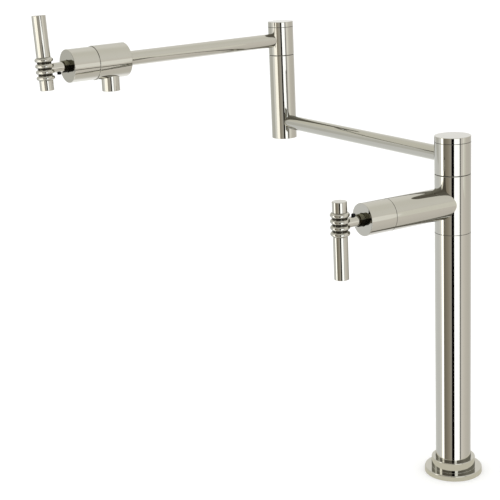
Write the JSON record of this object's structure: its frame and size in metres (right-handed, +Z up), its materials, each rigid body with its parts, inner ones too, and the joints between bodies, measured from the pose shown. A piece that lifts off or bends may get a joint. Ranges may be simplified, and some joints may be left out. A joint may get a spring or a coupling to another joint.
{
  "type": "deck mount pot filler",
  "caption": "Tall worktop-mounted pot filler tap with a column, two swinging arms, a short spout and a T-handled quarter-turn valve at each end.",
  "frame": {"origin": "centre of the flange's underside, where the column's axis meets the worktop surface", "axes": "+Z up along the column; -Y along the lower valve's branch, towards the user of that handle; +X completes the right-handed frame"},
  "size_m": [0.3275, 0.3368, 0.5427],
  "materials": {
    "polished_nickel": "polished nickel plate on brass",
    "brass": "machined, unplated",
    "dark_brass": "darkened, ribbed neck",
    "steel": "plain stamped",
    "black_steel": "black oxide",
    "black_rubber": "matte",
    "slip_ring": "smooth, dark, low-friction",
    "white_ceramic": "lapped",
    "grey_plastic": "moulded"
  },
  "bodies": {
    "base": {"base_flange": "polished_nickel", "flange_gasket": "black_rubber", "column_tube": "polished_nickel", "threaded_shank": "brass", "riser_tube": "brass", "rubber_washer": "black_rubber", "steel_washer": "steel", "mounting_nut": "brass", "tee_body": "polished_nickel", "column_spigot": "brass", "column_spigot_orings": "black_rubber", "column_swivel_washer": "slip_ring", "column_retaining_ring": "steel", "lower_bonnet": "polished_nickel", "lower_cartridge_body": "dark_brass", "lower_cartridge_orings": "black_rubber", "lower_fixed_disc": "white_ceramic", "lower_seat_seal": "black_rubber"},
    "lower_handle": {"lower_cartridge_stem": "brass", "lower_stem_oring": "black_rubber", "lower_turning_disc": "white_ceramic", "lower_handle_hub": "polished_nickel", "lower_handle_bar": "polished_nickel", "lower_handle_screw": "black_steel"},
    "lower_arm": {"column_head": "polished_nickel", "column_cap": "polished_nickel", "lower_arm": "polished_nickel", "elbow_post": "polished_nickel", "elbow_post_plug": "polished_nickel", "elbow_spigot": "brass", "elbow_spigot_orings": "black_rubber", "elbow_swivel_washer": "slip_ring", "elbow_retaining_ring": "steel"},
    "upper_arm": {"elbow_head": "polished_nickel", "elbow_cap": "polished_nickel", "upper_arm": "polished_nickel", "outlet_valve_body": "polished_nickel", "spout": "polished_nickel", "flow_straightener": "grey_plastic", "outlet_bonnet": "polished_nickel", "outlet_cartridge_body": "dark_brass", "outlet_cartridge_orings": "black_rubber", "outlet_fixed_disc": "white_ceramic", "outlet_seat_seal": "black_rubber"},
    "outlet_handle": {"outlet_cartridge_stem": "brass", "outlet_stem_oring": "black_rubber", "outlet_turning_disc": "white_ceramic", "outlet_handle_hub": "polished_nickel", "outlet_handle_bar": "polished_nickel", "outlet_handle_screw": "black_steel"}
  },
  "joints": [
    {"name": "column_swivel", "type": "hinge", "parent": "base", "child": "lower_arm", "pos_m": [0, 0, 0.3085], "axis": [0, 0, 1], "continuous": true},
    {"name": "elbow_swivel", "type": "hinge", "parent": "lower_arm", "child": "upper_arm", "pos_m": [-0.28491, -0.00696, 0.3997], "axis": [0, 0, 1], "continuous": true},
    {"name": "lower_lever", "type": "hinge", "parent": "base", "child": "lower_handle", "pos_m": [0, -0.1326, 0.2806], "axis": [0, -1, 0], "range_deg": [0, 90]},
    {"name": "outlet_lever", "type": "hinge", "parent": "upper_arm", "child": "outlet_handle", "pos_m": [-0.26244, -0.299, 0.4161], "axis": [0.0767, -0.9971, 0], "range_deg": [0, 90]}
  ]
}
